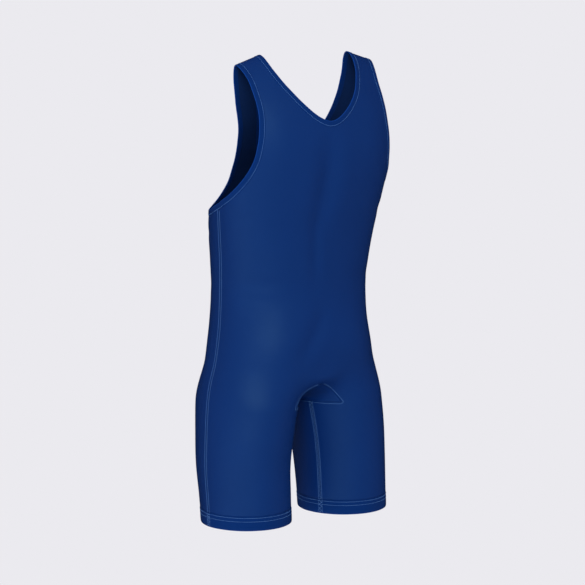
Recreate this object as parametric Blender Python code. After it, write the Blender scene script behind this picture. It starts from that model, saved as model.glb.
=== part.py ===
"""Wrestling singlet, filled out as it is worn, with no wearer.

The cloth is a wall on one smooth figure. Every piece is a sheet of points on that figure, bounded by its
seams, and the sheet is then given its thickness towards the inside. Metres, +Z up. The front faces -Y and
the garment's own left is +X. The origin is midway between the tops of the two straps.

A place on the cloth has two numbers: its angle, seen from above (0 at the side seam, +90 degrees at the
centre of the back, -90 at the centre of the front), and its level, the square root of how far it lies
below the shoulder line. Equal steps of level go evenly round the top of the shoulder.
"""

from math import pi, radians, sqrt

import bpy
import numpy as np

# ---- cloth ----
PANEL_WALL = 0.0014
BAND_RAISE = 0.0005
SEAM_GAP = 0.0003

# ---- straps and shoulders ----
STRAP_MIDDLE = 0.119
SHOULDER_SLOPE = 0.31
SLOPE_ENDS = 0.22

# ---- bands and hems ----
NECK_BAND_WIDTH = 0.010
ARMHOLE_BAND_WIDTH = 0.010
LEG_BAND_WIDTH = 0.025
HEM_DROP = 0.826

# ---- where the torso turns into two legs ----
TORSO_ENDS = 0.535
LEGS_BEGIN = 0.616
SEAT_REACHES_LOWER = 0.028
SEAT_SPREAD = 0.050
AXIS_LEAVES_TORSO = 0.43
AXIS_REACHES_LEG = 0.59
CROTCH_SOFTNESS = 0.16

# ---- gusset and inseam ----
GUSSET_TOP_DROP = 0.580
GUSSET_EDGE_DROP = 0.617
GUSSET_BLUNT_END = 0.005
GUSSET_HUB = {"drop": 0.54, "across": 0.70, "along": 0.35}
GUSSET_CORNER = {"back": radians(120), "front": radians(-146)}
INSEAM = radians(156)

# ---- rows and columns of each half panel ----
COLUMNS = 9
NECK_ROWS = 14
MIDLINE_ROWS = 20
CORNER_ROWS = 3
GUSSET_EDGE_ROWS = 5
INSEAM_ROWS = 8
ARMHOLE_ROWS = 20
GUSSET_COLUMNS = 4

# ---- how finely the surface is worked out ----
HALVINGS = 48
FINE_STEPS = 400
SMALL = 1e-4
RAY_REACH = 1.6
GUSSET_RAY_REACH = 1.5
WIDEST_DEPTH = 0.2
SHARPEST_MITRE = 0.4

# ---- finish ----
SHARP_EDGE = radians(50)
ROUGHNESS = 0.55
ROYAL_BLUE = (0.006, 0.030, 0.150, 1)
BAND_BLUE = (0.008, 0.036, 0.170, 1)

# The torso: drop below the shoulder line, half of the width, then where the side seam, the centre of the
# front and the centre of the back lie from front to back, and how square the section is (2 is an ellipse).
TORSO = (
    # drop, half_width, side_y, front_y, back_y, squareness
    (0.000, 0.196, 0.000, 0.000, 0.000, 2.4),
    (0.012, 0.195, 0.005, -0.009, 0.023, 2.4),
    (0.045, 0.195, 0.007, -0.011, 0.049, 2.4),
    (0.080, 0.194, 0.006, -0.016, 0.070, 2.4),
    (0.120, 0.190, 0.003, -0.030, 0.084, 2.4),
    (0.160, 0.184, -0.003, -0.056, 0.090, 2.4),
    (0.205, 0.176, -0.011, -0.090, 0.087, 2.4),
    (0.250, 0.169, -0.020, -0.116, 0.078, 2.4),
    (0.300, 0.161, -0.029, -0.136, 0.067, 2.4),
    (0.355, 0.153, -0.037, -0.143, 0.062, 2.35),
    (0.406, 0.149, -0.043, -0.144, 0.059, 2.3),
    (0.460, 0.151, -0.044, -0.147, 0.062, 2.3),
    (0.520, 0.159, -0.043, -0.151, 0.069, 2.3),
    (0.570, 0.168, -0.042, -0.152, 0.070, 2.3),
    (0.630, 0.178, -0.040, -0.144, 0.060, 2.3),
    (0.840, 0.185, -0.036, -0.138, 0.054, 2.3),
)

# Each leg: drop, how far its axis stands from the middle, where the axis lies from front to back, and half
# of its width and of its depth.
LEG = (
    # drop, axis_x, axis_y, half_width, half_depth
    (0.000, 0.078, -0.042, 0.082, 0.108),
    (0.470, 0.078, -0.042, 0.082, 0.108),
    (0.520, 0.080, -0.042, 0.084, 0.109),
    (0.570, 0.086, -0.042, 0.087, 0.109),
    (0.610, 0.093, -0.041, 0.0855, 0.1055),
    (0.670, 0.102, -0.038, 0.0830, 0.098),
    (0.725, 0.107, -0.035, 0.0810, 0.092),
    (0.780, 0.1075, -0.029, 0.0805, 0.086),
    (0.828, 0.1075, -0.025, 0.0800, 0.083),
    (0.890, 0.1075, -0.022, 0.0790, 0.081),
)

# The free edge of the neck, from the strap top to its lowest point, on each side.
NECK_HALF_WIDTH = 0.0945
NECK_ROUNDNESS = {"back": 1.55, "front": 1.65}
NECK_DROP = {"back": 0.122, "front": 0.215}

# The free edge of the armhole, from the strap top to the side seam: drop, and angle from the side.
ARMHOLE = {
    "back": (
        # drop, angle
        (0.000, 44.8),
        (0.028, 47.2),
        (0.055, 47.8),
        (0.083, 47.6),
        (0.112, 46.0),
        (0.142, 43.1),
        (0.175, 38.2),
        (0.205, 29.4),
        (0.230, 16.8),
        (0.249, 0.0),
    ),
    "front": (
        (0.000, 44.8),
        (0.032, 45.2),
        (0.072, 47.4),
        (0.112, 51.2),
        (0.155, 55.0),
        (0.198, 57.2),
        (0.232, 55.0),
        (0.258, 45.0),
        (0.266, 25.5),
        (0.249, 0.0),
    ),
}

# The rows where the panels' edges turn a corner.
SPLIT_ROW = NECK_ROWS + MIDLINE_ROWS
CORNER_ROW = SPLIT_ROW + 1 + CORNER_ROWS
INSEAM_ROW = CORNER_ROW + GUSSET_EDGE_ROWS
LAST_ROW = INSEAM_ROW + INSEAM_ROWS

# How far down the side seam each row ends, under the armhole band.
SIDE_SEAM = (
    # row, drop
    (SPLIT_ROW, 0.562),
    (SPLIT_ROW + 1, 0.580),
    (CORNER_ROW, 0.630),
    (INSEAM_ROW, 0.690),
    (LAST_ROW, HEM_DROP - LEG_BAND_WIDTH),
)

# How far down the middle of the back and of the front each row starts, between the neck and the crotch.
MIDLINE = {
    "back": (
        # row, drop
        (ARMHOLE_ROWS, 0.225),
        (SPLIT_ROW, GUSSET_TOP_DROP),
    ),
    "front": (
        (NECK_ROWS + 1, 0.265),
        (ARMHOLE_ROWS, 0.350),
        (SPLIT_ROW, GUSSET_TOP_DROP),
    ),
}

# How late a row of the front leaves the level of its inner end for that of its outer end, which lets the
# rows pass under the lowest stretch of the armhole. 1 is a straight row.
FRONT_ROW_BEND = (
    # row, bend
    (NECK_ROWS, 1.0),
    (NECK_ROWS + 2, 2.5),
    (ARMHOLE_ROWS, 3.0),
    (ARMHOLE_ROWS + 7, 1.0),
)

# Which way each side of the garment lies along Y.
SIGN = {"back": 1, "front": -1}


def smooth_curve(knots, values, where):
    """A cubic curve through the values at the knots: at each knot its slope is the mean of its two chords'."""
    knots = np.asarray(knots, float)
    values = np.asarray(values, float)
    chords = np.diff(values) / np.diff(knots)
    slopes = np.concatenate([chords[:1], (chords[:-1] + chords[1:]) / 2, chords[-1:]])
    where = np.clip(where, knots[0], knots[-1])
    span = np.clip(np.searchsorted(knots, where, side="right") - 1, 0, len(knots) - 2)
    length = knots[span + 1] - knots[span]
    t = (where - knots[span]) / length
    start = (1 + 2 * t) * (1 - t) ** 2 * values[span] + t * (1 - t) ** 2 * length * slopes[span]
    end = t**2 * (3 - 2 * t) * values[span + 1] + t**2 * (t - 1) * length * slopes[span + 1]
    return start + end


def figure_row(table, level):
    """The columns of a table at each level, smooth from row to row."""
    rows = np.array(table)
    knots = np.sqrt(rows[:, 0])
    return [smooth_curve(knots, rows[:, column], level) for column in range(1, rows.shape[1])]


def ease(value, start, end):
    """0 before start and 1 after end, with no corner between."""
    t = np.clip((value - start) / (end - start), 0, 1)
    return t * t * (3 - 2 * t)


def outside(x, y, level):
    """Below 0 inside the figure, 0 on the cloth and above 0 outside: a torso that eases into two legs."""
    half_width, side_y, front_y, back_y, square = figure_row(TORSO, level)
    depth = np.maximum(np.where(y > side_y, back_y - side_y, side_y - front_y), 1e-9)
    torso = np.abs(x / half_width) ** square + np.abs((y - side_y) / depth) ** square - 1
    axis_x, axis_y, leg_width, leg_depth = figure_row(LEG, level)
    along = ((y - axis_y) / leg_depth) ** 2
    near = ((np.abs(x) - axis_x) / leg_width) ** 2 + along
    far = ((np.abs(x) + axis_x) / leg_width) ** 2 + along
    joined = near - CROTCH_SOFTNESS * np.log1p(np.exp((near - far) / CROTCH_SOFTNESS))
    lower = SEAT_REACHES_LOWER * np.exp(-((x / SEAT_SPREAD) ** 2))
    share = ease(level**2, TORSO_ENDS + lower, LEGS_BEGIN)
    return (1 - share) * torso + share * (joined - 1)


def first_crossing(outside_at, shape, reach):
    """The distance up to reach at which outside_at(distance) turns from below 0 to above 0, by halving."""
    low = np.zeros(shape)
    high = np.full(shape, reach)
    for _ in range(HALVINGS):
        middle = (low + high) / 2
        inside = outside_at(middle) < 0
        low = np.where(inside, middle, low)
        high = np.where(inside, high, middle)
    return (low + high) / 2


def axis(angle, level):
    """Where the angle is measured from at this level, and how far it reaches across and along the figure."""
    half_width, side_y, front_y, back_y, _ = figure_row(TORSO, level)
    axis_x, axis_y, leg_width, leg_depth = figure_row(LEG, level)
    share = ease(level**2, AXIS_LEAVES_TORSO, AXIS_REACHES_LEG)
    depth = np.maximum(np.where(np.sin(angle) > 0, back_y - side_y, side_y - front_y), 1e-9)
    return (
        share * axis_x,
        side_y + share * (axis_y - side_y),
        half_width + share * (leg_width - half_width),
        depth + share * (leg_depth - depth),
    )


def drop_to_height(x, drop):
    """The height of a place: below the shoulder line by its drop, which slopes outwards near the straps."""
    fade = 1 - ease(drop, 0, SLOPE_ENDS)
    return -drop - SHOULDER_SLOPE * (np.abs(x) - STRAP_MIDDLE) * fade


def cloth(angle, level):
    """The points of the cloth at these angles and levels, by a level ray out of the axis."""
    angle, level = np.broadcast_arrays(np.asarray(angle, float), np.asarray(level, float))
    centre_x, centre_y, across, along = axis(angle, level)
    step_x = across * np.cos(angle)
    step_y = along * np.sin(angle)
    distance = first_crossing(
        lambda far: outside(centre_x + far * step_x, centre_y + far * step_y, level),
        angle.shape,
        RAY_REACH,
    )
    x = centre_x + distance * step_x
    y = centre_y + distance * step_y
    return np.stack([x, y, drop_to_height(x, level**2)], axis=-1)


def unit(vectors):
    return vectors / np.linalg.norm(vectors, axis=-1, keepdims=True)


def slopes(angle, level):
    """How a point of the cloth moves with its angle and with its level."""
    higher = level + SMALL
    lower = np.maximum(level - SMALL, 0)
    by_angle = (cloth(angle + SMALL, level) - cloth(angle - SMALL, level)) / (2 * SMALL)
    by_level = (cloth(angle, higher) - cloth(angle, lower)) / (higher - lower)[..., None]
    return by_angle, by_level


def outward(angle, level):
    """The unit normal of the cloth, away from the figure."""
    by_angle, by_level = slopes(angle, np.asarray(level, float))
    return unit(np.cross(by_level, by_angle))


def angle_of(x, y, level, side):
    """The angle whose ray passes through this place."""
    guess = np.full(np.shape(x), SIGN[side] * pi / 2)
    centre_x, centre_y, across, along = axis(guess, level)
    return np.arctan2((y - centre_y) / along, (x - centre_x) / across)


def midline(level, side):
    """The angle of the centre front or centre back at each level."""
    _, side_y, _, _, _ = figure_row(TORSO, level)
    depth = first_crossing(
        lambda far: outside(0 * far, side_y + SIGN[side] * far, level),
        np.shape(level),
        WIDEST_DEPTH,
    )
    return angle_of(np.zeros_like(level), side_y + SIGN[side] * depth, level, side)


def evenly(points, count):
    """The places along a row of points, from 0 to 1, that divide its length into equal steps."""
    lengths = np.linalg.norm(np.diff(points, axis=0), axis=1)
    along = np.concatenate([[0], np.cumsum(lengths)]) / lengths.sum()
    return np.interp(np.linspace(0, 1, count + 1), along, np.linspace(0, 1, len(points)))


def spread(curve, count):
    """A curve of places t -> (angle, level), read at equal steps along the cloth."""
    fine = curve(np.linspace(0, 1, FINE_STEPS))
    return curve(evenly(cloth(*fine), count))


def neck_edge(side):
    """The free edge of the neck on one side, from the strap top to the middle: part of a rounded oval."""

    def curve(t):
        turn = t * pi / 2
        drop = NECK_DROP[side] * np.sin(turn) ** (2 / NECK_ROUNDNESS[side])
        x = NECK_HALF_WIDTH * np.maximum(np.cos(turn), 0) ** (2 / NECK_ROUNDNESS[side])
        level = np.sqrt(drop)
        half_width, _, _, _, square = figure_row(TORSO, level)
        share = x / half_width
        return SIGN[side] * np.arctan2((1 - share**square) ** (1 / square), share), level

    return spread(curve, NECK_ROWS)


def armhole_edge(side):
    """The free edge of the armhole on one side, from the strap top to the side seam."""
    rows = np.array(ARMHOLE[side])
    knots = np.linspace(0, 1, len(rows))

    def curve(t):
        drop = np.maximum(smooth_curve(knots, rows[:, 0], t), 0)
        return SIGN[side] * np.radians(smooth_curve(knots, rows[:, 1], t)), np.sqrt(drop)

    return spread(curve, ARMHOLE_ROWS)


def along_loop(points, closed):
    """The direction of a row of points at each of them. An open row is mirrored in the plane X = 0."""
    if closed:
        return unit(np.roll(points, -1, axis=0) - np.roll(points, 1, axis=0))
    mirrored = points * (-1, 1, 1)
    longer = np.concatenate([mirrored[1:2], points, mirrored[-2:-1]])
    return unit(longer[2:] - longer[:-2])


def move_across(angle, level, tangent, distance, steps=5):
    """The places this far to the right of a curve, seen from outside with the curve running upwards.

    Each short step lies in the plane of the cloth, and the change of angle and of level that gives it is the
    solution of two linear equations.
    """
    for _ in range(steps):
        by_angle, by_level = slopes(angle, level)
        normal = unit(np.cross(by_level, by_angle))
        step = unit(np.cross(tangent, normal)) * distance / steps
        a = (by_angle * by_angle).sum(-1)
        b = (by_angle * by_level).sum(-1)
        c = (by_level * by_level).sum(-1)
        p = (step * by_angle).sum(-1)
        q = (step * by_level).sum(-1)
        determinant = a * c - b * b
        angle = angle + (c * p - b * q) / determinant
        level = np.maximum(level + (a * q - b * p) / determinant, 0)
    return angle, level


def neck_lines():
    """(free edge, seam) of the neck, each as {side: (angle, level)} from the strap top to the middle."""
    edge = {side: neck_edge(side) for side in SIGN}
    angle = np.concatenate([edge["front"][0][::-1], edge["back"][0][1:]])
    level = np.concatenate([edge["front"][1][::-1], edge["back"][1][1:]])
    tangent = along_loop(cloth(angle, level), closed=False)
    seam_angle, seam_level = move_across(angle, level, tangent, NECK_BAND_WIDTH)
    seam_angle[[0, -1]] = -pi / 2, pi / 2
    seam_level[NECK_ROWS] = 0
    front = np.abs(seam_angle[NECK_ROWS::-1]) * -1, seam_level[NECK_ROWS::-1]
    back = np.abs(seam_angle[NECK_ROWS:]), seam_level[NECK_ROWS:]
    return edge, {"front": front, "back": back}


def armhole_lines():
    """(free edge, seam) of the left armhole, each as {side: (angle, level)} from the strap top down."""
    edge = {side: armhole_edge(side) for side in SIGN}
    angle = np.concatenate([edge["back"][0], edge["front"][0][-2:0:-1]])
    level = np.concatenate([edge["back"][1], edge["front"][1][-2:0:-1]])
    tangent = along_loop(cloth(angle, level), closed=True)
    seam_angle, seam_level = move_across(angle, level, -tangent, ARMHOLE_BAND_WIDTH)
    seam_angle[ARMHOLE_ROWS] = 0
    seam_level[0] = 0
    back = np.abs(seam_angle[: ARMHOLE_ROWS + 1]), seam_level[: ARMHOLE_ROWS + 1]
    front_angle = np.concatenate([seam_angle[:1], seam_angle[:ARMHOLE_ROWS - 1:-1]])
    front_level = np.concatenate([seam_level[:1], seam_level[:ARMHOLE_ROWS - 1:-1]])
    return edge, {"front": (-np.abs(front_angle), front_level), "back": back}


def gusset_edge(side):
    """The gusset's seam on one side, from its blunt end at the midline by its corner to the inseam."""
    level = np.array(sqrt(GUSSET_TOP_DROP))
    middle_angle = midline(level, side)
    middle = cloth(middle_angle, level)
    start = angle_of(GUSSET_BLUNT_END, middle[1], level, side)
    inseam = INSEAM if side == "back" else INSEAM - 2 * pi
    corner = GUSSET_CORNER[side]
    down = np.linspace(0, 1, CORNER_ROWS + 1)
    across = np.linspace(0, 1, GUSSET_EDGE_ROWS + 1)[1:]
    angle = np.concatenate([start + down * (corner - start), corner + across * (inseam - corner)])
    drop = GUSSET_TOP_DROP + down * (GUSSET_EDGE_DROP - GUSSET_TOP_DROP)
    drop = np.concatenate([drop, np.full(GUSSET_EDGE_ROWS, GUSSET_EDGE_DROP)])
    return angle, np.sqrt(drop)


def inner_boundary(side, neck_seam):
    """A half panel's inner edge, row by row: neck seam, midline, gusset and inseam."""
    neck_angle, neck_level = neck_seam
    rows, drops = zip((NECK_ROWS, neck_level[-1] ** 2), *MIDLINE[side])
    middle_level = np.sqrt(np.interp(np.arange(NECK_ROWS + 1, SPLIT_ROW + 1), rows, drops))
    edge_angle, edge_level = gusset_edge(side)
    inseam_drop = np.linspace(GUSSET_EDGE_DROP, HEM_DROP - LEG_BAND_WIDTH, INSEAM_ROWS + 1)[1:]
    angles = [neck_angle, midline(middle_level, side), edge_angle, np.full(INSEAM_ROWS, edge_angle[-1])]
    levels = [neck_level, middle_level, edge_level, np.sqrt(inseam_drop)]
    return np.concatenate(angles), np.concatenate(levels)


def outer_boundary(armhole_seam):
    """A half panel's outer edge, row by row: armhole seam, then side seam."""
    angle, level = armhole_seam
    rows, drops = zip((ARMHOLE_ROWS, level[-1] ** 2), *SIDE_SEAM)
    below = np.arange(ARMHOLE_ROWS + 1, rows[-1] + 1)
    drop = np.interp(below, rows, drops)
    return np.concatenate([angle, 0 * drop]), np.concatenate([level, np.sqrt(drop)])


def ruled(inner, outer, side):
    """Columns of places from the inner edge to the outer edge of each row."""
    share = np.linspace(0, 1, COLUMNS + 1)
    rows, bends = zip(*FRONT_ROW_BEND)
    bend = np.interp(np.arange(LAST_ROW + 1), rows, bends)[:, None]
    bent = share ** (bend if side == "front" else np.ones_like(bend))
    angle = inner[0][:, None] * (1 - share) + outer[0][:, None] * share
    level = inner[1][:, None] * (1 - bent) + outer[1][:, None] * bent
    return angle, level


def facing(points, normals, triangles):
    """Twice the area of each triangle, below 0 where it looks against its corners' normals."""
    a, b, c = (points[triangles[..., i]] for i in range(3))
    return (np.cross(b - a, c - a) * normals[triangles].mean(axis=-2)).sum(-1)


class Sheet:
    """Points on the cloth, their normals and the triangles between them, which look along the normals."""

    def __init__(self, points, normals, faces):
        self.points = points
        self.normals = normals
        self.faces = faces

    @classmethod
    def of_grid(cls, points, normals, closed=False):
        """A grid of points. Each quad is cut along the diagonal whose smaller triangle is the larger."""
        rows, columns, _ = points.shape
        number = np.arange(rows * columns).reshape(rows, columns)
        below = (np.roll(number, -1, axis=0) if closed else number[1:])
        above = number if closed else number[:-1]
        corners = [above[:, :-1], below[:, :-1], below[:, 1:], above[:, 1:]]
        quads = np.stack(corners, axis=-1).reshape(-1, 4)
        points = points.reshape(-1, 3)
        normals = normals.reshape(-1, 3)
        if facing(points, normals, quads[:, :3]).sum() < 0:
            quads = quads[:, ::-1]
        cuts = np.stack([quads[:, [[0, 1, 2], [0, 2, 3]]], quads[:, [[1, 2, 3], [1, 3, 0]]]])
        worst = facing(points, normals, cuts).min(axis=-1)
        better = np.where(worst[0] >= worst[1], 0, 1)
        return cls(points, normals, cuts[better, np.arange(len(quads))].reshape(-1, 3))

    def mirrored(self):
        """The same sheet on the garment's other half."""
        return Sheet(self.points * (-1, 1, 1), self.normals * (-1, 1, 1), self.faces[:, ::-1])

    def joined(self, other):
        """Both sheets as one, sewn where their points are the same."""
        points = np.concatenate([self.points, other.points])
        normals = np.concatenate([self.normals, other.normals])
        faces = np.concatenate([self.faces, other.faces + len(self.points)])
        keys = np.round(points * 1e7).astype(np.int64)
        _, first, number = np.unique(keys, axis=0, return_index=True, return_inverse=True)
        faces = number.reshape(-1)[faces]
        whole = (faces != np.roll(faces, 1, axis=1)).all(axis=1)
        return Sheet(points[first], normals[first], faces[whole])

    def border(self):
        """The directed edges that only one face has."""
        ends = np.concatenate([self.faces[:, [i, (i + 1) % 3]] for i in range(3)])
        known = {(int(a), int(b)) for a, b in ends}
        return np.array([(a, b) for a, b in known if (b, a) not in known])

    def drawn_in(self, distance):
        """The sheet with its border moved this far inwards along the cloth, for the gap at a seam."""
        border = self.border()
        runs = unit(self.points[border[:, 1]] - self.points[border[:, 0]])
        inward = unit(np.cross(self.normals[border].mean(axis=1), runs))
        after = np.zeros_like(self.points)
        before = np.zeros_like(self.points)
        after[border[:, 0]] = inward
        before[border[:, 1]] = inward
        edge = np.unique(border)
        spread_of_two = 1 + (after[edge] * before[edge]).sum(-1, keepdims=True)
        points = self.points.copy()
        points[edge] += (after[edge] + before[edge]) / np.maximum(spread_of_two, SHARPEST_MITRE) * distance
        return Sheet(points, self.normals, self.faces)


def solid(name, sheet, colour, raised=0.0):
    """One object: the sheet, drawn in for its seam gap, with a wall on its inner side."""
    sheet = sheet.drawn_in(SEAM_GAP / 2)
    outer = sheet.points + sheet.normals * raised
    inner = sheet.points - sheet.normals * PANEL_WALL
    count = len(outer)
    start, end = sheet.border().T
    rim = [np.stack([end, start, start + count], axis=1), np.stack([start + count, end + count, end], axis=1)]
    faces = np.concatenate([sheet.faces, sheet.faces[:, ::-1] + count, *rim])
    mesh = bpy.data.meshes.new(name)
    mesh.from_pydata(np.concatenate([outer, inner]).tolist(), [], faces.tolist())
    mesh.update()
    mesh.shade_smooth()
    mesh.set_sharp_from_angle(angle=SHARP_EDGE)
    mesh.materials.append(cloth_material(name, colour))
    thing = bpy.data.objects.new(name, mesh)
    bpy.context.scene.collection.objects.link(thing)
    return thing


def cloth_material(name, colour):
    material = bpy.data.materials.new(name + "_cloth")
    material.use_nodes = True
    shader = material.node_tree.nodes["Principled BSDF"]
    shader.inputs["Base Color"].default_value = colour
    shader.inputs["Roughness"].default_value = ROUGHNESS
    shader.inputs["Metallic"].default_value = 0.0
    return material


def panel_places(side, neck_seam, armhole_seam):
    return ruled(inner_boundary(side, neck_seam[side]), outer_boundary(armhole_seam[side]), side)


def make_panel(name, places):
    """A whole front or back: its left half and the mirror of it."""
    angle, level = places
    points = cloth(angle, level)
    points[NECK_ROWS : NECK_ROWS + MIDLINE_ROWS + 1, 0, 0] = 0
    half = Sheet.of_grid(points, outward(angle, level))
    solid(name, half.joined(half.mirrored()), ROYAL_BLUE)


def band_sheet(edge, seam, closed):
    """A strip between a free edge and the seam beside it."""
    angle = np.stack([edge[0], seam[0]], axis=1)
    level = np.stack([edge[1], seam[1]], axis=1)
    return Sheet.of_grid(cloth(angle, level), outward(angle, level), closed)


def half_loop(lines):
    """Places from the middle of the front over the strap to the middle of the back."""
    return [np.concatenate([lines["front"][i][::-1], lines["back"][i][1:]]) for i in range(2)]


def whole_loop(lines):
    """Places round the armhole, down its back and up its front."""
    return [np.concatenate([lines["back"][i], lines["front"][i][-2:0:-1]]) for i in range(2)]


def make_neck_band(edge, seam):
    half = band_sheet(half_loop(edge), half_loop(seam), closed=False)
    solid("neck_band", half.joined(half.mirrored()), BAND_BLUE, BAND_RAISE)


def make_armhole_bands(edge, seam):
    left = band_sheet(whole_loop(edge), whole_loop(seam), closed=True)
    solid("armhole_band_left", left, BAND_BLUE, BAND_RAISE)
    solid("armhole_band_right", left.mirrored(), BAND_BLUE, BAND_RAISE)


def make_leg_bands(front_places, back_places):
    """A band round each leg, on the lowest points of the front and of the back."""
    round_leg = np.concatenate([front_places[0][-1], back_places[0][-1][-2:0:-1]])
    drops = np.linspace(HEM_DROP - LEG_BAND_WIDTH, HEM_DROP, 3)
    angle, level = np.meshgrid(round_leg, np.sqrt(drops), indexing="ij")
    left = Sheet.of_grid(cloth(angle, level), outward(angle, level), closed=True)
    solid("leg_band_left", left, BAND_BLUE, BAND_RAISE)
    solid("leg_band_right", left.mirrored(), BAND_BLUE, BAND_RAISE)


def crotch_curve(count):
    """Points of the cloth in the plane X = 0, from the gusset's front end under the crotch to its back end."""
    level = np.array(sqrt(GUSSET_TOP_DROP))
    middle_y = np.mean([cloth(midline(level, side), level)[1] for side in SIGN])

    def swing(t):
        """Each ray swings from the front to the back through straight down."""
        turn = (t - 0.5) * pi
        forward = np.sin(turn)
        down = np.cos(turn)
        far = first_crossing(
            lambda far: outside(0 * t, middle_y + far * forward, np.sqrt(GUSSET_TOP_DROP + far * down)),
            t.shape,
            WIDEST_DEPTH,
        )
        return np.stack([0 * t, middle_y + far * forward, -GUSSET_TOP_DROP - far * down], axis=-1)

    return swing(evenly(swing(np.linspace(0, 1, FINE_STEPS)), count - 1))


def outside_point(points):
    """The same as outside, for points well below the shoulders, where the drop is just the height."""
    return outside(points[..., 0], points[..., 1], np.sqrt(-points[..., 2]))


def field_normal(points):
    """The normal of the cloth at points well below the shoulders, from how fast the figure is left."""
    steps = SMALL * np.eye(3)
    return unit(np.stack([outside_point(points + step) - outside_point(points - step) for step in steps], -1))


def make_gusset():
    """Rows from the crotch curve to the gusset's seam on the left thigh, and the mirror of them.

    A point of a row lies where a ray from the leg's hub, through the straight line between the row's ends,
    meets the figure.
    """
    edge = np.concatenate([cloth(*gusset_edge("front")), cloth(*gusset_edge("back"))[-2::-1]])
    crotch = crotch_curve(len(edge))
    share = np.linspace(0, 1, GUSSET_COLUMNS + 1)[:, None]
    chords = crotch[:, None] * (1 - share) + edge[:, None] * share
    axis_x, axis_y, _, _ = figure_row(LEG, np.sqrt(-edge[:, 2]))
    hub_y = axis_y + GUSSET_HUB["along"] * (edge[:, 1] - axis_y)
    hub_z = np.full(len(edge), -GUSSET_HUB["drop"])
    hub = np.stack([GUSSET_HUB["across"] * axis_x, hub_y, hub_z], axis=-1)[:, None]
    ray = chords - hub
    far = first_crossing(
        lambda far: outside_point(hub + far[..., None] * ray),
        ray.shape[:2],
        GUSSET_RAY_REACH,
    )
    points = hub + far[..., None] * ray
    points[:, 0] = crotch
    points[:, -1] = edge
    normals = field_normal(points)
    normals[:, 0, 0] = 0
    normals = unit(normals)
    half = Sheet.of_grid(points, normals)
    solid("gusset", half.joined(half.mirrored()), ROYAL_BLUE)


def main():
    for thing in list(bpy.data.objects):
        bpy.data.objects.remove(thing, do_unlink=True)
    neck_edge_lines, neck_seam = neck_lines()
    armhole_edge_lines, armhole_seam = armhole_lines()
    places = {side: panel_places(side, neck_seam, armhole_seam) for side in SIGN}
    make_panel("front_panel", places["front"])
    make_panel("back_panel", places["back"])
    make_gusset()
    make_neck_band(neck_edge_lines, neck_seam)
    make_armhole_bands(armhole_edge_lines, armhole_seam)
    make_leg_bands(places["front"], places["back"])


main()
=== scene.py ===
# %% [markdown]
# # A wrestling singlet, filled out as it is worn
#
# A singlet is one tight piece of stretch knit: a front and a back that run from the shoulder straps down
# to the thighs, a small gusset between the legs, and narrow bands that finish the neck, the armholes and
# the two legs. Nobody is inside it here, so it is a hollow shell that keeps the shape of a wearer.
#
# Such a shell could be sculpted, or simulated on a body. Here one smooth figure is written down as
# formulas, and every piece of cloth is a patch of that figure between its seams. That keeps the cut exact:
# the seams meet, the bands follow the edges, and each stitch knows which way the cloth runs below it.
#
# Metres, +Z up. The front faces -Y, the garment's own left is +X, and the origin lies midway between the
# tops of the straps.

from math import cos, pi, radians, sin, sqrt

import bmesh
import bpy
import numpy as np
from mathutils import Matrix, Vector


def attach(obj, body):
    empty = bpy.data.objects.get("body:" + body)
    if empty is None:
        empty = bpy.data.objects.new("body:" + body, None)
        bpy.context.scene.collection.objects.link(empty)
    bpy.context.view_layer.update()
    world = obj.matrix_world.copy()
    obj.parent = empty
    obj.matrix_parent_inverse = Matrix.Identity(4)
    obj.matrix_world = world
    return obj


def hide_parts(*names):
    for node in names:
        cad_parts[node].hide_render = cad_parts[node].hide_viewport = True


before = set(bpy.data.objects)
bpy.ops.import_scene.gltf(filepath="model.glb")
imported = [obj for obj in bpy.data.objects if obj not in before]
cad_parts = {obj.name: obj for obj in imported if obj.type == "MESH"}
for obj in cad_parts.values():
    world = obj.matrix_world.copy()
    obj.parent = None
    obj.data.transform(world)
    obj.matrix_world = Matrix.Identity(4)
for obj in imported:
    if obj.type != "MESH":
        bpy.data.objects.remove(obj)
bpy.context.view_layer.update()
print("nodes of the frame:", sorted(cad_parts))

# %% [markdown]
# ## The camera
#
# It stands behind the garment's left shoulder, a good four metres away and a little above the straps, and
# looks slightly down. A long lens keeps the straps and the hems nearly the same size.

# %% Camera
CAMERA_AZIMUTH = radians(143.74)
CAMERA_PITCH = radians(8.484)
CAMERA_DISTANCE = 4.574
CAMERA_HEIGHT = 0.263
CAMERA_TO_THE_LEFT = 0.0187
CAMERA_LENS = 159.4

BACK = Vector((sin(CAMERA_AZIMUTH), -cos(CAMERA_AZIMUTH), 0))
RIGHT = Vector((cos(CAMERA_AZIMUTH), sin(CAMERA_AZIMUTH), 0))
UP = Vector((0, 0, 1))

camera = bpy.data.objects.new("camera", bpy.data.cameras.new("camera"))
camera.data.lens = CAMERA_LENS
camera.location = BACK * CAMERA_DISTANCE - RIGHT * CAMERA_TO_THE_LEFT + UP * CAMERA_HEIGHT
looking = -BACK * cos(CAMERA_PITCH) - UP * sin(CAMERA_PITCH)
camera.rotation_euler = looking.to_track_quat("-Z", "Y").to_euler()
bpy.context.scene.collection.objects.link(camera)
bpy.context.scene.camera = camera
print("camera at", [round(value, 3) for value in camera.location])

# %% [markdown]
# ## The figure
#
# Two short tables describe the body that fills the cloth: sections of a torso, and sections of one leg,
# each at a drop below the shoulder line. Between the rows every column follows a smooth cubic curve of the
# *level*, the square root of the drop. Equal steps of level go evenly round the top of a shoulder, where
# equal steps of height would bunch up.

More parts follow.
